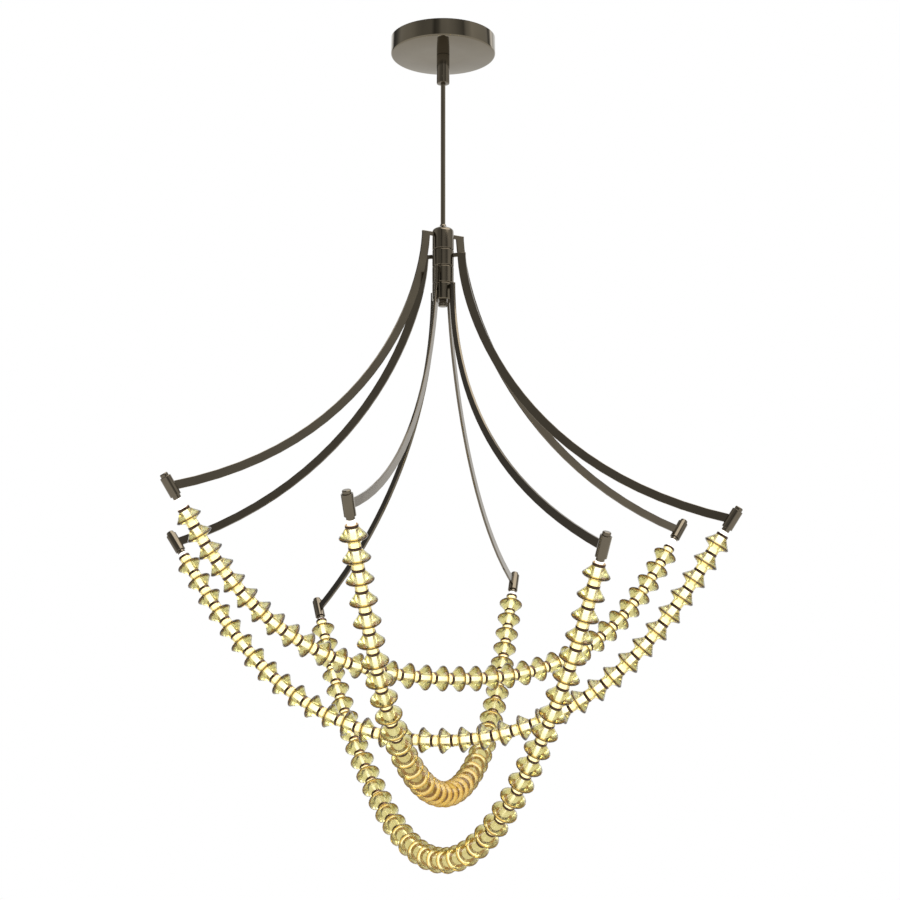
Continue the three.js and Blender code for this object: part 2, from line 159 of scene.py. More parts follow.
def tinted_glass(name, tint, density, melt_dark, melt_light):
    material, tree = blank_material(name)
    place = node(tree, "ShaderNodeTexCoord")
    swirl = node(tree, "ShaderNodeTexNoise",
                 {"Vector": place.outputs["Object"], "Scale": 1 / (SWIRL_WIDTH * MM),
                  "Detail": 2.0})
    zone = node(tree, "ShaderNodeAttribute", attribute_name="tint_and_painted_light")
    relief = node(tree, "ShaderNodeBump",
                  {"Height": swirl.outputs["Fac"], "Strength": 0.06,
                   "Distance": SWIRL_DEPTH * MM})
    tone = node(tree, "ShaderNodeValToRGB", {"Fac": swirl.outputs["Fac"]},
                stops=[(0.35, linear(melt_dark)), (0.65, linear(melt_light))])
    # Painted shade: the base colour darkens to a dark line where the eye grazes the glass.
    edge = node(tree, "ShaderNodeLayerWeight", {"Blend": 0.5})
    painted_grazing_shade = node(tree, "ShaderNodeValToRGB", {"Fac": edge.outputs["Facing"]},
                   stops=[(0.0, linear("#FFFFFF")), (0.64, linear("#FFFFFF")),
                          (0.84, linear("#766A46")), (1.0, linear("#120D09"))])
    zoned = node(tree, "ShaderNodeMix",
                 {FACTOR: 1.0, COLOUR_A: tone.outputs["Color"], COLOUR_B: zone.outputs["Color"]},
                 **MULTIPLIED)
    # The painted shade at the grazing edge is multiplied into the base colour here.
    deep = node(tree, "ShaderNodeMix",
                {FACTOR: 1.0, COLOUR_A: zoned.outputs[COLOUR_OUT],
                 COLOUR_B: painted_grazing_shade.outputs["Color"]},
                **MULTIPLIED)
    glass = node(tree, "ShaderNodeBsdfPrincipled",
                 {"Base Color": deep.outputs[COLOUR_OUT], "Roughness": GLASS_ROUGHNESS,
                  "IOR": GLASS_INDEX, "Transmission Weight": 1.0,
                  "Normal": relief.outputs["Normal"]})
    depth = node(tree, "ShaderNodeVolumeAbsorption",
                 {"Color": linear(tint), "Density": density})
    node(tree, "ShaderNodeOutputMaterial",
         {"Surface": glass.outputs["BSDF"], "Volume": depth.outputs["Volume"]})
    return material


olive_glass = tinted_glass("olive_pressed_glass", "#DFDA8A", 54.0, "#FCFBE6", "#FFFFF0")
print("glass:", olive_glass.name, "with", len(olive_glass.node_tree.nodes), "nodes")

# %% [markdown]
# ## Lit silicone
# The tube inside the beads is frosted silicone with a row of small lights in it. The lights
# could be built one by one, but the frosting spreads them to one even glow, so the surface
# itself shines, a little warmer in soft patches of 5 mm.


# %% The silicone of the tube
def lit_silicone(name, code, patch_mm, strength):
    material, tree = blank_material(name)
    place = node(tree, "ShaderNodeTexCoord")
    patch = node(tree, "ShaderNodeTexNoise",
                 {"Vector": place.outputs["Object"], "Scale": 1 / (patch_mm * MM), "Detail": 2.0})
    tone = node(tree, "ShaderNodeValToRGB", {"Fac": patch.outputs["Fac"]},
                stops=[(NOISE_LOW, linear(code)), (NOISE_HIGH, linear("#FFFFFF"))])
    skin = node(tree, "ShaderNodeBsdfPrincipled",
                {"Base Color": tone.outputs["Color"], "Roughness": 0.45,
                 "Emission Color": tone.outputs["Color"], "Emission Strength": strength})
    node(tree, "ShaderNodeOutputMaterial", {"Surface": skin.outputs["BSDF"]})
    return material


glowing_silicone = lit_silicone("lit_frosted_silicone", "#FFF9EC", 5.0, 1.34)
print("tube:", glowing_silicone.name)

# %% [markdown]
# ## Moulded plastics
# The light driver and the terminal block sit inside the canopy. Both are moulded plastic
# with a spark-eroded grain, which takes the hard shine off. A mould's grain is about half a
# millimetre, and it is drawn at that size.

# %% The plastics
MOULD_GRAIN, PLASTIC_INDEX = 0.5, 1.5


def moulded(name, dark, light, roughness):
    material, tree = blank_material(name)
    place = node(tree, "ShaderNodeTexCoord")
    grain = node(tree, "ShaderNodeTexNoise",
                 {"Vector": place.outputs["Object"], "Scale": 1 / (MOULD_GRAIN * MM),
                  "Detail": 2.0})
    tone = node(tree, "ShaderNodeValToRGB", {"Fac": grain.outputs["Fac"]},
                stops=[(NOISE_LOW, linear(dark)), (NOISE_HIGH, linear(light))])
    relief = node(tree, "ShaderNodeBump",
                  {"Height": grain.outputs["Fac"], "Strength": 0.15,
                   "Distance": GRAIN_DEPTH * MM})
    plastic = node(tree, "ShaderNodeBsdfPrincipled",
                   {"Base Color": tone.outputs["Color"], "Roughness": roughness,
                    "IOR": PLASTIC_INDEX, "Normal": relief.outputs["Normal"]})
    node(tree, "ShaderNodeOutputMaterial", {"Surface": plastic.outputs["BSDF"]})
    return material


driver_plastic = moulded("driver_case_polycarbonate", "#DCDCD8", "#E8E8E4", 0.5)
terminal_plastic = moulded("terminal_block_nylon", "#D0CCC0", "#DEDACE", 0.45)
print("plastics:", driver_plastic.name, "and", terminal_plastic.name)

# %% [markdown]
# ## The four tiers
# A tier is one ring of the hub with its two arms and its string. These sizes are the model's own,
# so each piece lands where its solid is. A tier says its turn about the stem in degrees, its
# number of beads, the bare tube at each end, the bends that make its curve in degrees, which way
# its necks point, the height of its tabs, the shape of its arms, and how much painted amber shade
# its lowest beads carry, with the rise over which that fades.

# %% The sizes of the tiers
REACH = 370
HIGH_ARM = {"drop": 368.6, "fall": 70, "sweep": 290, "tip": 15.2}
LOW_ARM = {"drop": 387.3, "fall": 111, "sweep": 305, "tip": 23.5}
TIERS = [
    {"turn": 29, "beads": 35, "bare": 12.5, "bend": (50.14, -7.47, -1.1), "neck": 1,
     "tab": -271.8, "arm": HIGH_ARM, "amber": (0, 1)},
    {"turn": 344, "beads": 35, "bare": 4.3, "bend": (56.44, -1.49, -1.13), "neck": -1,
     "tab": -300.0, "arm": HIGH_ARM, "amber": (0, 1)},
    {"turn": 74, "beads": 38, "bare": 5.6, "bend": (62.64, -0.7, -0.87), "neck": 1,
     "tab": -322.86, "arm": HIGH_ARM, "amber": (0.85, 60)},
    {"turn": 299, "beads": 40, "bare": 2.2, "bend": (65.22, 5.06, 3.32), "neck": -1,
     "tab": -345.72, "arm": LOW_ARM, "amber": (0.16, 110)},
]
print("beads on the four strings:", sum(tier["beads"] for tier in TIERS))

# %% [markdown]
# ## The line of a string
# A threaded string hangs in a smooth curve. It could be drawn by hand as a path, but a short
# formula follows when a size changes: the slope is a sum of three sines, and the curve is
# that slope added up from the lowest point outwards. The same line places the tube, the
# beads, the rings and the sleeves.

# %% The string's curve
SLEEVE_LENGTH, PLUG_OUT = 26, 4.4
SPACER_THICK = 3.4


def string_line(tier, steps=200):
    def slope(share):
        return radians(sum(part * sin((2 * i + 1) * pi / 2 * share)
                           for i, part in enumerate(tier["bend"])))

    def mean(share, part):
        return sum(part(slope(share * (i + 0.5) / steps)) for i in range(steps)) / steps

    half = REACH / mean(1, cos)
    tip = tier["tab"] - tier["arm"]["drop"]
    bottom = tip - half * mean(1, sin)
    plug_end = half - SLEEVE_LENGTH / 2 - PLUG_OUT
    last_spacer = plug_end - tier["bare"] - SPACER_THICK / 2
    pitch = 2 * last_spacer / tier["beads"]

    def point(along):
        share = abs(along) / half
        return Vector((along * mean(share, cos), 0, bottom + abs(along) * mean(share, sin)))

    spacers = [point(i * pitch - last_spacer) for i in range(tier["beads"] + 1)]
    return {"tip": Vector((REACH, 0, tip)), "tip_slope": slope(1), "pitch": pitch,
            "spacers": spacers, "ends": [point(-plug_end), point(plug_end)]}


LINES = [string_line(tier) for tier in TIERS]
for number, line in enumerate(LINES, 1):
    steep = degrees(line["tip_slope"])
    print(f"string {number}: beads every {line['pitch']:.2f} mm, ends {steep:.1f} degrees steep")

# %% [markdown]
# ## Selecting
# An operator works on all that is selected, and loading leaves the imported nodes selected. So
# everything is deselected before a new piece is added, and a piece is selected alone before
# it is changed. By hand this is a click in the window. In code it is two small helpers.


# %% Clearing the selection
def nothing_selected():
    if bpy.context.mode != "OBJECT":
        bpy.ops.object.mode_set(mode="OBJECT")
    bpy.ops.object.select_all(action="DESELECT")


def only_selected(piece):
    nothing_selected()
    piece.select_set(True)
    bpy.context.view_layer.objects.active = piece


print("selected by loading:", len(bpy.context.selected_objects))
nothing_selected()
print("selected now:", len(bpy.context.selected_objects))

# %% [markdown]
# ## Turning on a lathe
# The canopy, the rings, the sleeves and the beads are all turned forms. One way is to draw
# half the outline and spin it. Here a circle is pushed from corner to corner of the outline
# with extrude and resize, because then each ring of faces follows one line of the drawing.


# %% The lathe
def turned(outline, sides):
    """Outline corners are (radius, height) in mm. The piece is left open, in edit mode."""
    nothing_selected()
    radius, height = outline[0]
    bpy.ops.mesh.primitive_circle_add(vertices=sides, radius=radius * MM,
                                      location=(0, 0, height * MM))
    piece = bpy.context.object
    bpy.ops.object.mode_set(mode="EDIT")
    bpy.ops.mesh.select_mode(type="VERT")
    bpy.ops.mesh.select_all(action="SELECT")
    for next_radius, next_height in outline[1:]:
        rise = (0, 0, (next_height - height) * MM)
        bpy.ops.mesh.extrude_region_move(TRANSFORM_OT_translate={"value": rise})
        share = next_radius / radius
        bpy.ops.transform.resize(value=(share, share, 1),
                                 center_override=(0, 0, next_height * MM))
        radius, height = next_radius, next_height
    return piece


def turned_ring(outline, sides):
    """A turned form with a bore: the last circle is bridged to the first."""
    piece = turned(outline, sides)
    bpy.ops.mesh.select_all(action="DESELECT")
    bpy.ops.mesh.select_mode(type="EDGE")
    bpy.ops.mesh.select_non_manifold()
    bpy.ops.mesh.bridge_edge_loops()
    bpy.ops.object.mode_set(mode="OBJECT")
    return piece


print("made two lathe helpers, turned and turned_ring")

# %% [markdown]
# ## Finishing a piece
# Each new piece ends in the same way. Its doubles are merged, its faces turned outwards, and
# its place goes into its mesh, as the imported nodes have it. Flat shading would show every
# facet, and smooth shading all over would melt the corners, so it is smooth up to an angle.

# %% The finish of a mesh
MERGE_BELOW = 1e-6


def smoothed(piece, below):
    only_selected(piece)
    bpy.ops.object.shade_smooth_by_angle(angle=radians(below))


def finished(piece, name, smooth_below=30):
    """A clean mesh with its faces outwards and its place in the mesh."""
    only_selected(piece)
    piece.name = piece.data.name = name
    bpy.ops.object.mode_set(mode="EDIT")
    bpy.ops.mesh.select_all(action="SELECT")
    bpy.ops.mesh.remove_doubles(threshold=MERGE_BELOW)
    bpy.ops.mesh.normals_make_consistent(inside=False)
    bpy.ops.object.mode_set(mode="OBJECT")
    bpy.ops.object.transform_apply(location=True, rotation=True, scale=True)
    smoothed(piece, smooth_below)
    return piece


print("points closer than", MERGE_BELOW / MM, "mm are merged")

# %% [markdown]
# ## One bead and its zones
# A bead is a cone that flares to a rounded rim and drops through a short shoulder to a slim neck.
# It is turned once, with few rings of faces, since there are about 150 copies. The glass is a
# little deeper in colour at its shoulder and its neck, and its rim carries painted shade: a dark
# line with an amber band on each side. That could be painted by hand on an image, but each zone is
# a ring of faces, so a colour is kept with each face's corners.

# %% The bead
TUBE_WIDTH, BEAD_WIDTH, NECK_WIDTH = 9, 33, 14.6
BORE_GAP, RING_GAP = 0.35, 0.1
RIM_LINE, RIM_BAND, NECK_START = 0.75, 1.7, 5.3
TURNED_SIDES = 20
bead_length = LINES[0]["pitch"] - SPACER_THICK - RING_GAP
end, bore = bead_length / 2, TUBE_WIDTH / 2 + BORE_GAP
rim, neck = BEAD_WIDTH / 2, NECK_WIDTH / 2


def bead_tint_and_rim_shade(face):
    """A colour code by the face's place on the bead: painted shade at the rim, a deeper tint at
    the shoulder and the neck.
    """
    height, radius = face.center.z / MM, face.center.xy.length / MM
    # Painted shade: a dark line round the rim and an amber band on each side of it.
    if radius > neck + 1 and abs(height) < RIM_LINE:
        return "#241806"
    if radius > neck + 1 and abs(height) < RIM_BAND:
        return "#B4863A"
    if height > NECK_START and radius > bore + 0.5:
        return "#FCEAB2"
    if height > RIM_BAND and radius > bore + 0.5:
        return "#F6E6A8"
    return "#FFFFFF"


def paint_zones(piece, zone_of):
    tint = piece.data.color_attributes.new("tint_and_painted_light", "FLOAT_COLOR", "CORNER")
    for face in piece.data.polygons:
        for corner in face.loop_indices:
            tint.data[corner].color = linear(zone_of(face))


bead = turned_ring([
    (bore, -end), (neck + 0.3, -end), (11.2, -end + 4.4), (rim - 1.3, -RIM_BAND),
    (rim - 0.25, -RIM_LINE), (rim, 0), (rim - 0.25, RIM_LINE), (rim - 1.3, RIM_BAND),
    (10.4, 3.5), (neck, NECK_START), (neck, end), (bore, end),
], TURNED_SIDES)
finished(bead, "bead_pattern", 32)
paint_zones(bead, bead_tint_and_rim_shade)
print("bead:", len(bead.data.polygons), "faces")

# %% [markdown]
# ## One spacer ring
# A thin dark metal ring sits between two beads. Its flat sides lie against lit glass and
# shine amber, and its rim stays dark. A real lamp inside each ring would be far too much, so
# the two sides carry an amber tint that the ring's metal gives off as light.

# %% The spacer ring
SPACER_WIDTH = 15.6
EASED_IN, EASED_UP = 0.4, 0.6
ring_out, ring_half = SPACER_WIDTH / 2, SPACER_THICK / 2


def ring_zone(face):
    return "#A9823C" if abs(face.normal.z) > 0.9 else "#000000"


spacer = turned_ring([
    (bore, -ring_half), (ring_out - EASED_IN, -ring_half), (ring_out, -ring_half + EASED_UP),
    (ring_out, ring_half - EASED_UP), (ring_out - EASED_IN, ring_half), (bore, ring_half),
], TURNED_SIDES)
finished(spacer, "spacer_pattern", 50)
paint_zones(spacer, ring_zone)
print("spacer:", len(spacer.data.polygons), "faces")

# %% [markdown]
# ## Copies in their places
# What repeats is modelled once. A copy could share its mesh, but every piece needs its place in
# its own mesh, so each copy has one. The last helper hangs a piece on the empty of the body that
# carries it, and hides the imported node that it stands for.


# %% Copying, joining and dressing
def turned_round(angle):
    return Matrix.Rotation(radians(angle), 4, "Z")


def along_string(place, direction):
    """Puts something that stands along Z on the string, with its top towards direction."""
    lean = Vector((0, 0, 1)).rotation_difference(direction.normalized())
    return Matrix.Translation(place * MM) @ lean.to_matrix().to_4x4()


def placed_copy(piece, name, matrix):
    copy = piece.copy()
    copy.data = piece.data.copy()
    copy.data.transform(matrix)
    copy.name = copy.data.name = name
    bpy.context.scene.collection.objects.link(copy)
    return copy


def joined(pieces, name, material):
    only_selected(pieces[0])
    for piece in pieces:
        piece.select_set(True)
    bpy.ops.object.join()
    whole = pieces[0]
    whole.name = whole.data.name = name
    whole.data.materials.append(material)
    return whole


def dressed(piece, body, node_name):
    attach(piece, body)
    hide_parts(node_name)
    print(f"{piece.name}: {len(piece.data.polygons)} faces, rides on {body}")


print("made placed_copy, joined and dressed")

# %% [markdown]
# ## Threading the strings
# Each string takes its copies of the bead and of the ring. A bead is stretched a little to
# fill the room between its rings, and turned end for end on the strings whose necks point
# the other way. An array along a curve would bend the beads, so each one is placed alone.
# The lowest beads of the third string carry painted amber shade, and those of the fourth a trace
# of it: it stands for the deeper colour that light takes through the stacked glass at the bottom.

# %% Beads and rings on the strings
# Painted shade: the amber that the lowest beads take.
PAINTED_AMBER_SHADE = linear("#C6A23C")


def amber_shaded(piece, share):
    """Mixes painted amber shade into the tint attribute. What was dark stays darker than the rest.
    """
    for corner in piece.data.color_attributes["tint_and_painted_light"].data:
        corner.color = [old + share * (new * (0.4 + 0.6 * old) - old)
                        for old, new in zip(corner.color, PAINTED_AMBER_SHADE)]


def thread(number, tier, spacers):
    turn = turned_round(tier["turn"])
    lowest = min(spot.z for spot in spacers)
    most, fades_over = tier["amber"]
    beads = []
    for i, (left, right) in enumerate(zip(spacers, spacers[1:])):
        stretch = ((right - left).length - SPACER_THICK - RING_GAP) / bead_length
        place = along_string((left + right) / 2, (right - left) * tier["neck"])
        beads.append(placed_copy(bead, f"bead_{number}_{i}",
                                 turn @ place @ Matrix.Scale(stretch, 4, (0, 0, 1))))
        # Painted amber shade, strongest on the lowest bead and fading with the rise.
        rise = (left.z + right.z) / 2 - lowest
        share = most * (1 - rise / fades_over)
        if share > 0:
            amber_shaded(beads[-1], share)
    rings = []
    for i, spot in enumerate(spacers):
        before, after = spacers[max(i - 1, 0)], spacers[min(i + 1, len(spacers) - 1)]
        rings.append(placed_copy(spacer, f"spacer_{number}_{i}",
                                 turn @ along_string(spot, after - before)))
    glass = joined(beads, f"glass_beads_{number}", olive_glass)
    metal = joined(rings, f"spacer_rings_{number}", ring_bronze)
    dressed(glass, f"tier_{number}", f"bead_string_{number}")
    dressed(metal, f"tier_{number}", f"bead_string_{number}")


for number, (tier, line) in enumerate(zip(TIERS, LINES), 1):
    thread(number, tier, line["spacers"])
for pattern in (bead, spacer):
    bpy.data.objects.remove(pattern)
print("strings threaded:", len(LINES))

# %% [markdown]
# ## The glowing tubes
# The tube is a soft round cord of silicone. It could be extruded step by step, but a path
# with a round bevel is the usual way to make a long bent tube, and it stays perfectly round.


# %% The tubes
def light_tube(number, tier, line):
    nothing_selected()
    bpy.ops.curve.primitive_nurbs_path_add()
    path = bpy.context.object
    path.data.splines.clear()
    spline = path.data.splines.new("NURBS")
    points = [line["ends"][0], *line["spacers"], line["ends"][1]]
    spline.points.add(len(points) - 1)
    for spot, point in zip(spline.points, points):
        spot.co = (*(turned_round(tier["turn"]) @ (point * MM)), 1)
    spline.use_endpoint_u = True
    spline.order_u = 3
    spline.resolution_u = 3
    path.data.dimensions = "3D"
    path.data.bevel_depth = TUBE_WIDTH / 2 * MM
    path.data.bevel_resolution = 4
    path.data.use_fill_caps = True
    bpy.ops.object.convert(target="MESH")
    tube = finished(bpy.context.object, f"glow_tube_{number}", 60)
    tube.data.materials.append(glowing_silicone)
    dressed(tube, f"tier_{number}", f"light_tube_{number}")


for number, (tier, line) in enumerate(zip(TIERS, LINES), 1):
    light_tube(number, tier, line)
print("tubes made:", len(LINES))

# %% [markdown]
# ## The line of an arm
# An arm drops beside the hub and sweeps out to its sleeve in one easy bend. It could be an
# arc with a straight end, but a curve between four corners has no place where the bend
# starts. The first two corners are under the tab, and the last two lie along the tip.

# %% The arm's curve
BAR_WIDTH, BAR_THICK, BAR_TO_AXIS = 11, 3, 25.5
TAB_HEIGHT, TAB_SINK, TAB_CLEAR = 5.2, 2.2, 3


def arm_line(tier, steps=26):
    """Points and directions of the middle line, from under the tab to the tip, in mm."""
    shape = tier["arm"]
    top = tier["tab"]
    tip = top - shape["drop"]
    slope = radians(shape["tip"])
    corners = [Vector((BAR_TO_AXIS, top)), Vector((BAR_TO_AXIS, top - shape["fall"])),
               Vector((REACH - shape["sweep"] * cos(slope), tip + shape["sweep"] * sin(slope))),
               Vector((REACH, tip))]
    found = []
    for i in range(steps + 1):
        t = i / steps
        s = 1 - t
        spot = (s ** 3 * corners[0] + 3 * s * s * t * corners[1]
                + 3 * s * t * t * corners[2] + t ** 3 * corners[3])
        run = (s * s * (corners[1] - corners[0]) + 2 * s * t * (corners[2] - corners[1])
               + t * t * (corners[3] - corners[2]))
        found.append((spot, run.normalized()))
    return [(spot, run) for spot, run in found if spot.y < top - TAB_HEIGHT - TAB_CLEAR]


for number, tier in enumerate(TIERS, 1):
    print(f"arm {number}: {len(arm_line(tier))} steps below its tab")

# %% [markdown]
# ## The swept bar
# An arm is a flat bar set on edge. It starts as a plane, the bar's own cross-section, that is
# pushed down the arm's line step by step and turned to stay square to it. A bend modifier
# would need no steps, but it can't follow this line.


# %% Sweeping the bar
def swept_bar(tier):
    """The bar's section, pushed from the tab's top down the arm's line."""
    nothing_selected()
    bpy.ops.mesh.primitive_plane_add(size=1, location=(0, 0, 0))
    bar = bpy.context.object
    bpy.ops.object.mode_set(mode="EDIT")
    bpy.ops.mesh.select_all(action="SELECT")
    bpy.ops.transform.resize(value=(BAR_WIDTH * MM, BAR_THICK * MM, 1), center_override=(0, 0, 0))
    bpy.ops.transform.translate(value=(BAR_TO_AXIS * MM, 0, tier["tab"] * MM))
    here = Vector((BAR_TO_AXIS, tier["tab"]))
    heading = Vector((0, -1))
    for spot, run in [(here - Vector((0, TAB_HEIGHT)), heading), *arm_line(tier)]:
        move = (spot - here) * MM
        bpy.ops.mesh.extrude_region_move(
            TRANSFORM_OT_translate={"value": (move.x, 0, move.y)})
        bpy.ops.transform.rotate(value=-heading.angle_signed(run), orient_axis="Y",
                                 center_override=(spot.x * MM, 0, spot.y * MM))
        here, heading = spot, run
    return bar


print("a bar's section is", BAR_WIDTH, "by", BAR_THICK, "mm")

# %% [markdown]
# ## Edges and faces
# No plated edge is a razor's edge, and a rounded one catches the light. Each could be rounded
# by hand, but a bevel modifier finds all that are sharper than an angle. Faces are picked by
# their place and their normal, as a hand would click on them.


# %% Bevels and picked faces
def soft_edges(piece, width, sharper_than=40):
    only_selected(piece)
    bevel = piece.modifiers.new("soft_edges", "BEVEL")
    bevel.width = width * MM
    bevel.segments = 2
    bevel.limit_method = "ANGLE"
    bevel.angle_limit = radians(sharper_than)
    bpy.ops.object.modifier_apply(modifier=bevel.name)


def faces_picked(piece, test):
    """Selects, in edit mode, the faces whose middle and normal pass the test."""
    bpy.ops.object.mode_set(mode="OBJECT")
    for part in (*piece.data.vertices, *piece.data.edges, *piece.data.polygons):
        part.select = False
    for face in piece.data.polygons:
        face.select = test(face.center, face.normal)
    bpy.ops.object.mode_set(mode="EDIT")
    bpy.ops.mesh.select_mode(type="FACE")


print("made soft_edges and faces_picked")

# %% [markdown]
# ## The tab and the cut tip
# The tab that enters the hub ring is extruded from the inner face of the bar's first step, so
# it is one piece with the bar, as on the real arm. The tip is cut square to the string, so it
# ends in the sleeve's wall. A boolean would do both, but it leaves untidy faces.

# %% The finished bars
RING_WIDTH = 28.5
SLEEVE_WIDTH, SLEEVE_WALL = 14, 1.6
ARM_EDGE, SMOOTH_EASED = 0.45, 25


def tip_axis(line):
    """The direction of the string where it enters the sleeve."""
    return Vector((cos(line["tip_slope"]), 0, sin(line["tip_slope"])))


def arm_bar(tier, line):
    bar = swept_bar(tier)
    tab_low = tier["tab"] * MM - TAB_HEIGHT * MM
    inner = BAR_TO_AXIS * MM
    faces_picked(bar, lambda middle, normal:
                 abs(normal.x) > 0.9 and middle.x < inner and middle.z > tab_low)
    reach_in = (RING_WIDTH / 2 - TAB_SINK - BAR_TO_AXIS + BAR_WIDTH / 2) * MM
    bpy.ops.mesh.extrude_region_move(TRANSFORM_OT_translate={"value": (reach_in, 0, 0)})
    bpy.ops.mesh.select_all(action="SELECT")
    axis = tip_axis(line)
    square = Vector((axis.z, 0, -axis.x))
    cut = (line["tip"] - square * (SLEEVE_WIDTH / 2 - SLEEVE_WALL / 2)) * MM
    bpy.ops.mesh.bisect(plane_co=cut, plane_no=square, use_fill=True, clear_outer=True)
    finished(bar, "arm_pattern")
    soft_edges(bar, ARM_EDGE, 50)
    smoothed(bar, SMOOTH_EASED)
    return bar


bars = [arm_bar(tier, line) for tier, line in zip(TIERS, LINES)]
print("faces of the four bars:", [len(bar.data.polygons) for bar in bars])

# %% [markdown]
# ## Sleeves and plugs
# A sleeve is a short tube, and its plug is a smooth rod that stands out at both mouths. Both
# are turned, the sleeve with a bore and the plug solid, and both have eased edges that show
# as thin bright lines.

# %% One sleeve and one plug
PLUG_WIDTH, PLUG_EASE = 10.2, 0.8


def turned_solid(outline, sides):
    """A turned form without a bore: both end circles are filled."""
    piece = turned(outline, sides)
    bpy.ops.mesh.select_all(action="SELECT")
    bpy.ops.mesh.fill_holes(sides=0)
    bpy.ops.object.mode_set(mode="OBJECT")
    return piece


sleeve_out, sleeve_in, half = SLEEVE_WIDTH / 2, SLEEVE_WIDTH / 2 - SLEEVE_WALL, SLEEVE_LENGTH / 2
sleeve = turned_ring([
    (sleeve_in, -half), (sleeve_out, -half), (sleeve_out, half), (sleeve_in, half),
], 40)
finished(sleeve, "sleeve_pattern")
soft_edges(sleeve, 0.4)
smoothed(sleeve, SMOOTH_EASED)

plug_out, plug_half = PLUG_WIDTH / 2, SLEEVE_LENGTH / 2 + PLUG_OUT
plug = turned_solid([
    (plug_out - PLUG_EASE, -plug_half), (plug_out, -plug_half + PLUG_EASE),
    (plug_out, plug_half - PLUG_EASE), (plug_out - PLUG_EASE, plug_half),
], 36)
finished(plug, "plug_pattern")
soft_edges(plug, 0.3, 30)
smoothed(plug, SMOOTH_EASED)
print("sleeve:", len(sleeve.data.polygons), "faces, plug:", len(plug.data.polygons), "faces")

# %% [markdown]
# ## Arms, sleeves and plugs in place
# The two arms of a tier are alike, half a turn apart. A mirror would do for the bar, but a
# half turn keeps its faces the right way out. Sleeve and plug are in line with the end of
# the string.

# %% All arms
for number, (tier, line, bar) in enumerate(zip(TIERS, LINES, bars), 1):
    at_tip = along_string(line["tip"], tip_axis(line))
    for side, half_turn in (("a", 0), ("b", 180)):
        turn = turned_round(tier["turn"] + half_turn)
        for pattern, made, stood_for, place in (
                (bar, "flat_bar_arm", "arm", turn),
                (sleeve, "end_sleeve", "arm_sleeve", turn @ at_tip),
                (plug, "end_plug", "sleeve_plug", turn @ at_tip)):
            copy = placed_copy(pattern, f"{made}_{number}{side}", place)
            copy.data.materials.append(bronze)
            dressed(copy, f"tier_{number}", f"{stood_for}_{number}{side}")
for pattern in (*bars, sleeve, plug):
    bpy.data.objects.remove(pattern)
print("arms in place:", 2 * len(TIERS))

# %% [markdown]
# ## The hub rings
# Four turned rings sit on the spindle. The small chamfers at their seams catch the light,
# and the top ring ends in a low dome with a little flare where the stem goes in. They could
# be one turned piece with grooves, but each ring turns with its own arms.

# %% Rings of the hub
HUB_TOP, FIRST_SEAM, RING_PITCH = 260, 295.1, 22.86
HALF_SEAM, CHAMFER, DOME_HEIGHT = 0.15, 0.9, 10.4
STEM_WIDTH = 6.35
core_bore = 4.0
stem_bore = STEM_WIDTH / 2 + 0.4
ring_edge = RING_WIDTH / 2


def domed_top(foot):
    dome = -HUB_TOP - DOME_HEIGHT
    return [*foot, (ring_edge, dome), (ring_edge - 0.3, dome + 1.7),
            (ring_edge - 1.2, dome + 3.3), (ring_edge - 2.8, dome + 4.5),
            (ring_edge - 4.6, dome + 5.3), (stem_bore + 4.2, dome + 6.3),
            (stem_bore + 2.0, -HUB_TOP - 3.0), (stem_bore + 0.9, -HUB_TOP - 1.6),
            (stem_bore + 0.5, -HUB_TOP), (stem_bore, -HUB_TOP), (core_bore, dome)]


def flat_top(foot, high):
    return [*foot, (ring_edge, high - CHAMFER), (ring_edge - CHAMFER, high), (core_bore, high)]


for i in range(len(TIERS)):
    low = -FIRST_SEAM - i * RING_PITCH + HALF_SEAM
    foot = [(core_bore, low), (ring_edge - CHAMFER, low), (ring_edge, low + CHAMFER)]
    outline = flat_top(foot, low + RING_PITCH - 2 * HALF_SEAM) if i else domed_top(foot)
    ring = turned_ring(outline, 64)
    finished(ring, f"stack_ring_{i + 1}")
    soft_edges(ring, 0.25, 38)
    smoothed(ring, 30)
    ring.data.materials.append(bronze)
    dressed(ring, f"tier_{i + 1}", f"hub_ring_{i + 1}")
print("hub:", len(TIERS), "rings, one every", RING_PITCH, "mm")

# %% [markdown]
# ## Stem and washer
# The stem is drawn steel tube, and the washer is a stamped disc under the lowest ring. The
# stem could have its bore too, but both of its ends are hidden, so it is turned solid.

# %% The stem and the washer
STEM_TOP, STEM_FOOT = -33, -HUB_TOP - 3.2
stem = turned_solid([(STEM_WIDTH / 2, height) for height in (STEM_FOOT, -180, -110, STEM_TOP)], 40)
finished(stem, "drawn_stem")
# The stem takes the copy of the plating that is painted lighter.
stem.data.materials.append(lighter_painted_bronze)
dressed(stem, "fixture", "stem_rod")
print(f"stem: {STEM_TOP - STEM_FOOT:.1f} mm long")

WASHER_IN, WASHER_OUT, WASHER_THICK = 3.3, 5.15, 2
washer_top = -FIRST_SEAM - 3 * RING_PITCH - 0.3
washer = turned_ring([
    (WASHER_IN, washer_top - WASHER_THICK), (WASHER_OUT, washer_top - WASHER_THICK),
    (WASHER_OUT, washer_top), (WASHER_IN, washer_top),
], 48)
finished(washer, "thin_washer")
soft_edges(washer, 0.3)
washer.data.materials.append(bronze)
dressed(washer, "fixture", "hub_washer")
print("washer:", 2 * WASHER_OUT, "mm wide")

# %% [markdown]
# ## The finial
# The finial is a small nut with a waist and a knurl that fingers can grip. A knurl could be
# cut with many small boxes. Pulling in every second line of the turned side gives the same
# ridges with no extra faces.

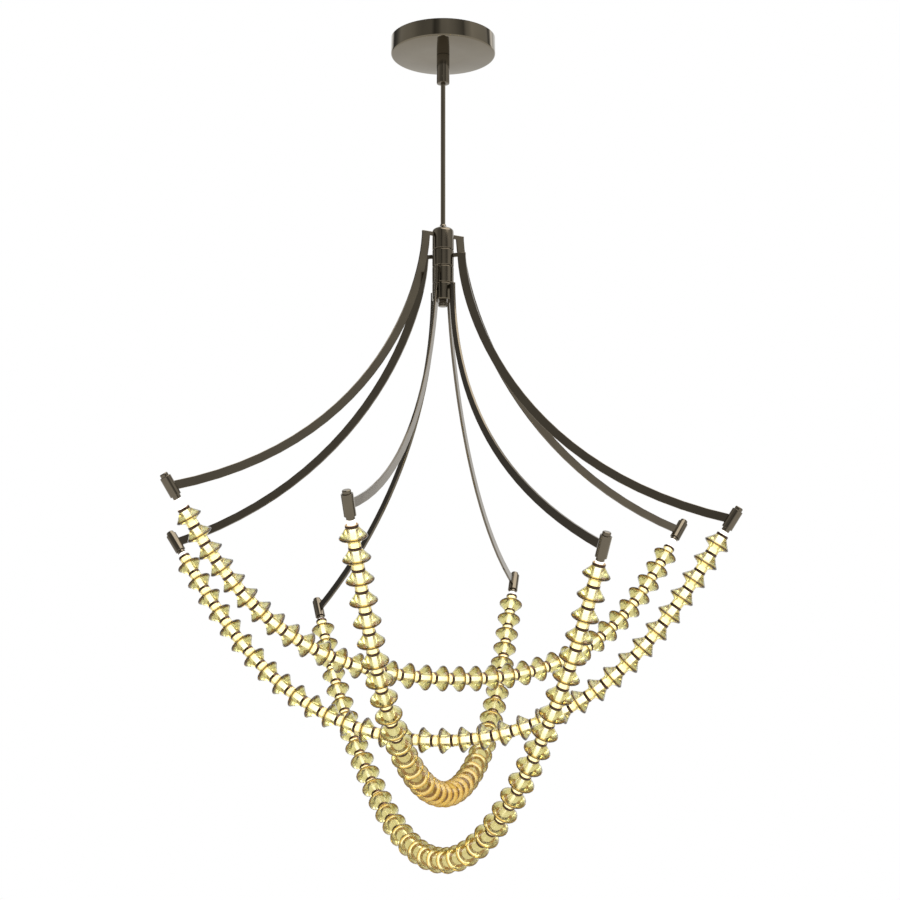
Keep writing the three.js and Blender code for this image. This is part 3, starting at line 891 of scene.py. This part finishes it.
# %% The finial nut
KNURL_LINES, KNURL_FROM, KNURL_DEPTH = 48, 5.9, 0.92
nut_top = washer_top - 2.3
nut_foot = nut_top - 5.4
finial = turned_solid([
    (3.4, nut_top - 4), (3.4, nut_top), (5.5, nut_top), (6.2, nut_top - 0.8), (6.2, nut_top - 2.3),
    (5.7, nut_top - 2.6), (5.7, nut_top - 2.8), (6.2, nut_top - 3.1), (6.2, nut_foot + 0.8),
    (5.6, nut_foot + 0.25), (4.4, nut_foot),
], KNURL_LINES)
for vertex in finial.data.vertices:
    if vertex.co.xy.length > KNURL_FROM * MM:
        line_number = round(degrees(atan2(vertex.co.y, vertex.co.x)) / (360 / KNURL_LINES))
        if line_number % 2:
            vertex.co.x *= KNURL_DEPTH
            vertex.co.y *= KNURL_DEPTH
finished(finial, "knurled_finial", 20)
finial.data.materials.append(bronze)
dressed(finial, "finial", "finial_nut")
print("finial:", KNURL_LINES // 2, "ridges")

# %% [markdown]
# ## The canopy
# The canopy is a spun steel cup, so its wall runs into the flat face through a small round
# edge. A bevel could round it, but the turned outline holds the arc itself, in four steps.

# %% The spun cup
CANOPY_RADIUS, CANOPY_DEPTH = 70.0, 23.4
WALL, ROUND = 1.2, 2.4
inside, ceiling_side = CANOPY_RADIUS - WALL, -CANOPY_DEPTH + WALL
round_edge = [(CANOPY_RADIUS - ROUND + ROUND * sin(radians(angle)),
               -CANOPY_DEPTH + ROUND - ROUND * cos(radians(angle)))
              for angle in (0, 22.5, 45, 67.5, 90)]
canopy = turned_ring([
    (inside, 0), (inside, ceiling_side), (6, ceiling_side), (6, -CANOPY_DEPTH),
    (30, -CANOPY_DEPTH), *round_edge, (CANOPY_RADIUS, -2.0), (CANOPY_RADIUS, 0),
], 128)
finished(canopy, "spun_canopy")
canopy.data.materials.append(lighter_painted_bronze)
dressed(canopy, "canopy", "canopy_cover")
print("canopy:", 2 * CANOPY_RADIUS, "mm wide")

# %% [markdown]
# ## The collar
# Under the canopy hangs a deep little cup with the stem through its floor. It is turned like
# the canopy, and its foot is rounded off by one more corner.

# %% The deep cup
COLLAR_RADIUS, COLLAR_WALL, COLLAR_FLOOR = 17.3 / 2, 1.4, 3
COLLAR_TOP, COLLAR_FOOT = -23.7, -63.5
inside, floor_top = COLLAR_RADIUS - COLLAR_WALL, COLLAR_FOOT + COLLAR_FLOOR
collar = turned_ring([
    (inside, COLLAR_TOP), (inside, floor_top), (stem_bore, floor_top), (stem_bore, COLLAR_FOOT),
    (COLLAR_RADIUS - 1, COLLAR_FOOT), (COLLAR_RADIUS - 0.3, COLLAR_FOOT + 0.3),
    (COLLAR_RADIUS, COLLAR_FOOT + 1), (COLLAR_RADIUS, COLLAR_TOP),
], 48)
finished(collar, "deep_collar")
collar.data.materials.append(bronze)
dressed(collar, "canopy", "canopy_collar")
print(f"collar: {COLLAR_TOP - COLLAR_FOOT:.1f} mm deep")

# %% [markdown]
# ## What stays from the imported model
# The plate, the nipple, the nut, the coupling, the spindle and the grub screw are the right
# shape already, and so are the driver and the terminal block, which the canopy hides. They
# keep their meshes and only get a finish.

# %% Finishes on the kept nodes
kept = {
    "ceiling_plate": zinc, "hanging_nipple": zinc, "lock_nut": zinc, "stem_coupling": zinc,
    "hub_core": zinc, "collar_grub_screw": bronze, "light_driver": driver_plastic,
    "terminal_block": terminal_plastic,
}
for name, material in kept.items():
    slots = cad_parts[name].data.materials
    slots.clear()
    slots.append(material)
print("kept nodes:", ", ".join(kept))

# %% [markdown]
# ## The studio floor
# The lamp hangs in a white studio. The floor is a wide disc at the depth of a room's floor.
# A bright lamp could wash it out, but that would wash out the object too, so the floor shows
# white by itself to the camera, to glass and to polished metal. It keeps a soft shadow in the
# middle and fades to white towards its edge, so no line shows where it ends.

# %% The floor
FLOOR_DEPTH, FLOOR_RADIUS = -2.45, 9.0
FADE_FROM, FADE_TO = 3.0, 0.85 * FLOOR_RADIUS
nothing_selected()
bpy.ops.mesh.primitive_circle_add(vertices=96, radius=FLOOR_RADIUS, fill_type="NGON",
                                  location=(0, 0, FLOOR_DEPTH))
floor = finished(bpy.context.object, "pale_floor")
floor_paint, tree = blank_material("pale_studio_floor")
matt = node(tree, "ShaderNodeBsdfPrincipled", {"Base Color": linear("#F4F4F2"), "Roughness": 0.9})
pale = node(tree, "ShaderNodeEmission", {"Color": linear("#FFFFFF"), "Strength": 1.0})
rays = node(tree, "ShaderNodeLightPath")
mirror = node(tree, "ShaderNodeMath",
              {0: rays.outputs["Is Glossy Ray"], 1: rays.outputs["Is Transmission Ray"]},
              operation="MAXIMUM")
place = node(tree, "ShaderNodeTexCoord")
distance = node(tree, "ShaderNodeVectorMath", {0: place.outputs["Object"]}, operation="LENGTH")
fade = node(tree, "ShaderNodeMapRange",
            {"Value": distance.outputs["Value"], "From Min": FADE_FROM, "From Max": FADE_TO,
             "To Min": 0.6, "To Max": 1.0})
direct = node(tree, "ShaderNodeMath",
              {0: rays.outputs["Is Camera Ray"], 1: fade.outputs["Result"]},
              operation="MULTIPLY")
share = node(tree, "ShaderNodeMath", {0: mirror.outputs["Value"], 1: direct.outputs["Value"]},
             operation="MAXIMUM")
mixed = node(tree, "ShaderNodeMixShader",
             {0: share.outputs["Value"], 1: matt.outputs["BSDF"], 2: pale.outputs["Emission"]})
node(tree, "ShaderNodeOutputMaterial", {"Surface": mixed.outputs["Shader"]})
floor.data.materials.append(floor_paint)
print("floor:", FLOOR_RADIUS * 2, "m wide,", -FLOOR_DEPTH, "m under the ceiling")

# %% [markdown]
# ## What the metal mirrors
# Polished metal shows its surroundings, and in an all white room it would look white. Real
# studios hang dark and pale screens round the object. Here the world itself has them, as
# soft bands of grey round the horizon that only reflections see. Each band is its angle from
# the X axis in degrees and its brightness. Below the horizon lies the pale floor, and overhead
# a bright soft box.

# %% The bands round the horizon
BANDS = [(-180, 0.56), (-166, 0.54), (-156, 0.47), (-146, 0.35), (-135, 0.3), (-124, 0.32),
         (-115, 0.33), (-108, 0.12), (-100, 0.21), (-93, 0.46), (-80, 0.5), (-66, 0.41),
         (-54, 0.29), (-45, 0.2), (-39, 0.5), (-32, 0.62), (-25, 0.82), (-10, 0.72),
         (20, 0.6), (27, 0.13), (33, 0.5), (40, 2.0), (50, 1.0), (60, 1.25), (75, 1.1),
         (118, 1.3), (128, 0.8), (134, 0.08), (144, 0.12), (153, 0.25), (166, 0.6), (180, 0.56)]
BRIGHTEST = max(brightness for angle, brightness in BANDS)


def grey(level):
    return (level, level, level, 1.0)


world = bpy.data.worlds.new("white_studio")
bpy.context.scene.world = world
world.use_nodes = True
tree = world.node_tree
tree.nodes.clear()
facing = node(tree, "ShaderNodeTexCoord")
parts = node(tree, "ShaderNodeSeparateXYZ", {"Vector": facing.outputs["Generated"]})
around = node(tree, "ShaderNodeMath", {0: parts.outputs["Y"], 1: parts.outputs["X"]},
              operation="ARCTAN2")
share = node(tree, "ShaderNodeMapRange",
             {"Value": around.outputs["Value"], "From Min": -pi, "From Max": pi})
banded = node(tree, "ShaderNodeValToRGB", {"Fac": share.outputs["Result"]},
              stops=[(0.5 + angle / 360, grey(brightness / BRIGHTEST))
                     for angle, brightness in BANDS])
gained = node(tree, "ShaderNodeMix",
              {FACTOR: 1.0, COLOUR_A: banded.outputs["Color"], COLOUR_B: grey(BRIGHTEST)},
              **MULTIPLIED)
print("bands:", len(BANDS), "with the brightest at", BRIGHTEST)

# %% [markdown]
# ## The white world
# The camera sees white behind the lamp, and so does glass. Light that falls on the object
# comes from a grey sky, which is even and plain, and only glossy rays meet the bands.

# %% The world
OVERHEAD = (0.35, -0.3, 0.887)
below = node(tree, "ShaderNodeMapRange",
             {"Value": parts.outputs["Z"], "From Min": -0.12, "From Max": -0.35})
mirrored = node(tree, "ShaderNodeMix",
                {FACTOR: below.outputs["Result"], COLOUR_A: gained.outputs[COLOUR_OUT],
                 COLOUR_B: linear("#F2F2F0")}, **MIXED)
aim = node(tree, "ShaderNodeVectorMath",
           {0: facing.outputs["Generated"], 1: OVERHEAD}, operation="DOT_PRODUCT")
overhead = node(tree, "ShaderNodeMapRange",
                {"Value": aim.outputs["Value"], "From Min": 0.79, "From Max": 0.83})
boxed = node(tree, "ShaderNodeMix",
             {FACTOR: overhead.outputs["Result"], COLOUR_A: mirrored.outputs[COLOUR_OUT],
              COLOUR_B: (3.4, 3.3, 3.2, 1.0)}, **MIXED)
rays = node(tree, "ShaderNodeLightPath")
lit = node(tree, "ShaderNodeMix",
           {FACTOR: rays.outputs["Is Glossy Ray"], COLOUR_A: linear("#C8C8C8"),
            COLOUR_B: boxed.outputs[COLOUR_OUT]}, **MIXED)
seen = node(tree, "ShaderNodeMath",
            {0: rays.outputs["Is Camera Ray"], 1: rays.outputs["Is Transmission Ray"]},
            operation="MAXIMUM")
shown = node(tree, "ShaderNodeMix",
             {FACTOR: seen.outputs["Value"], COLOUR_A: lit.outputs[COLOUR_OUT],
              COLOUR_B: linear("#FFFFFF")}, **MIXED)
sky = node(tree, "ShaderNodeBackground", {"Color": shown.outputs[COLOUR_OUT], "Strength": 1.0})
node(tree, "ShaderNodeOutputWorld", {"Surface": sky.outputs["Background"]})
print("world:", world.name, "with", len(tree.nodes), "nodes")

# %% [markdown]
# ## Lamps
# Three large soft boxes light the object, the strongest from the left and one from behind.
# Small lamps would draw hard shadows, which the photograph doesn't have. They don't show in
# reflections, because the world's bands do that work.

# %% The lamps
LAMP_AIM = Vector((0, 0, -0.6))


def soft_box(name, place, size, power):
    nothing_selected()
    bpy.ops.object.light_add(type="AREA", location=place)
    lamp = bpy.context.object
    lamp.name = name
    lamp.data.shape = "SQUARE"
    lamp.data.size = size
    lamp.data.energy = power
    lamp.visible_glossy = False
    direction = LAMP_AIM - Vector(place)
    lamp.rotation_euler = direction.to_track_quat("-Z", "Y").to_euler()
    print(f"{name}: {power} W, {direction.length:.1f} m away")


soft_box("soft_box_left", (-2.2, -2.0, 0.9), 1.4, 45)
soft_box("soft_box_right", (2.6, -1.2, 0.3), 1.2, 30)
soft_box("soft_box_back", (0.8, 2.6, 0.8), 1.4, 30)

# %% [markdown]
# ## Camera
# The camera stands about as low as the lowest beads, 2.4 m away, and looks up by eleven
# degrees. Its place and lens could be guessed by eye. They were fitted to points of the
# photograph instead, together with the layout, so that both agree.

# %% The camera
CAMERA_PLACE, CAMERA_TILT = (0.00925, -2.444, -1.0299), 10.83
SENSOR_WIDTH, LENS = 36, 77.17
bpy.ops.object.camera_add(location=CAMERA_PLACE, rotation=(radians(90 + CAMERA_TILT), 0, 0))
camera = bpy.context.object
camera.data.sensor_width = SENSOR_WIDTH
camera.data.lens = LENS
bpy.context.scene.camera = camera
print("camera:", LENS, "mm lens, tilted up by", CAMERA_TILT, "degrees")

# %% [markdown]
# ## Last step
# The colours are shown with the standard view, with no film look, and nothing is left selected.

# %% Finish
bpy.context.scene.view_settings.view_transform = "Standard"
nothing_selected()
